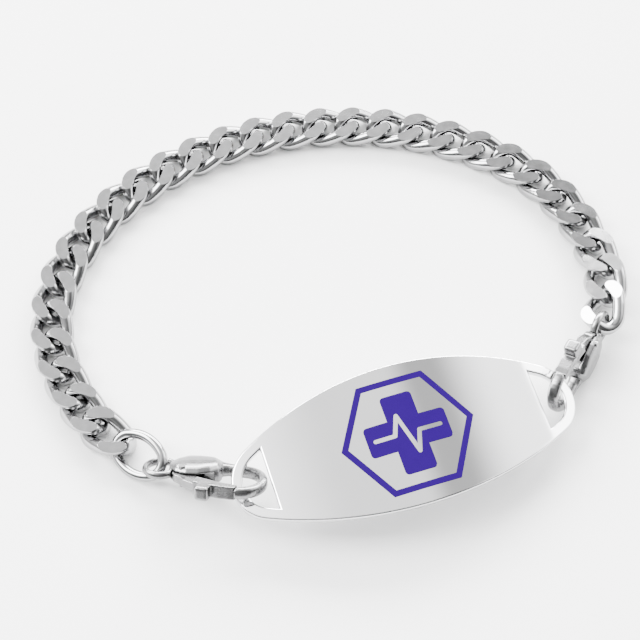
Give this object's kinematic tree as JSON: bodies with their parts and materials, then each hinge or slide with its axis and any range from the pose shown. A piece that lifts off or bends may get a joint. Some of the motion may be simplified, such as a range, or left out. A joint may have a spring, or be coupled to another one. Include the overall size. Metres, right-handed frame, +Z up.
{
  "type": "medical alert bracelet",
  "caption": "Steel medical alert bracelet: bent oval plate with enamel marks, held by two lobster clasps on a flat curb chain, lying open as a loop.",
  "frame": {"origin": "under the middle of the loop's bounding box, on the surface the bracelet lies on", "axes": "+Z up from the surface, +X along the loop's longer way towards the right clasp, +Y away from the plate towards the middle of the chain"},
  "size_m": [0.0781, 0.0645, 0.0082],
  "materials": {
    "polished_plate": "mirror-polished 316L stainless steel face, back finely brushed along its length",
    "enamel": "glossy purple enamel let into the steel, flush with it",
    "chain_steel": "316L stainless steel, filed faces finely brushed, sides polished",
    "clasp_steel": "cast 316L stainless steel, tumbled to a soft polish"
  },
  "bodies": {
    "bracelet": {"id_plate": "polished_plate", "emblem_border": "enamel", "emblem_cross": "enamel", "link_01": "chain_steel", "link_02": "chain_steel", "link_03": "chain_steel", "link_04": "chain_steel", "link_05": "chain_steel", "link_06": "chain_steel", "link_07": "chain_steel", "link_08": "chain_steel", "link_09": "chain_steel", "link_10": "chain_steel", "link_11": "chain_steel", "link_12": "chain_steel", "link_13": "chain_steel", "link_14": "chain_steel", "link_15": "chain_steel", "link_16": "chain_steel", "link_17": "chain_steel", "link_18": "chain_steel", "link_19": "chain_steel", "link_20": "chain_steel", "link_21": "chain_steel", "link_22": "chain_steel", "link_23": "chain_steel", "link_24": "chain_steel", "link_25": "chain_steel", "link_26": "chain_steel", "link_27": "chain_steel", "link_28": "chain_steel", "link_29": "chain_steel", "jump_ring": "chain_steel", "left_clasp": "clasp_steel", "left_pin": "clasp_steel", "right_clasp": "clasp_steel", "right_pin": "clasp_steel"},
    "left_lever": {"left_lever": "clasp_steel"},
    "right_lever": {"right_lever": "clasp_steel"}
  },
  "joints": [
    {"name": "left_lever_hinge", "type": "hinge", "parent": "bracelet", "child": "left_lever", "pos_m": [-0.01839, -0.02527, 0.00344], "axis": [0.0226, 0.5981, 0.8011], "range_deg": [0, 10], "stiffness_Nm_per_rad": 0.02, "springref_deg": -11.46},
    {"name": "right_lever_hinge", "type": "hinge", "parent": "bracelet", "child": "right_lever", "pos_m": [0.03272, -0.00778, 0.00401], "axis": [0.8273, -0.5054, 0.2453], "range_deg": [0, 14], "stiffness_Nm_per_rad": 0.02, "springref_deg": -11.46}
  ]
}
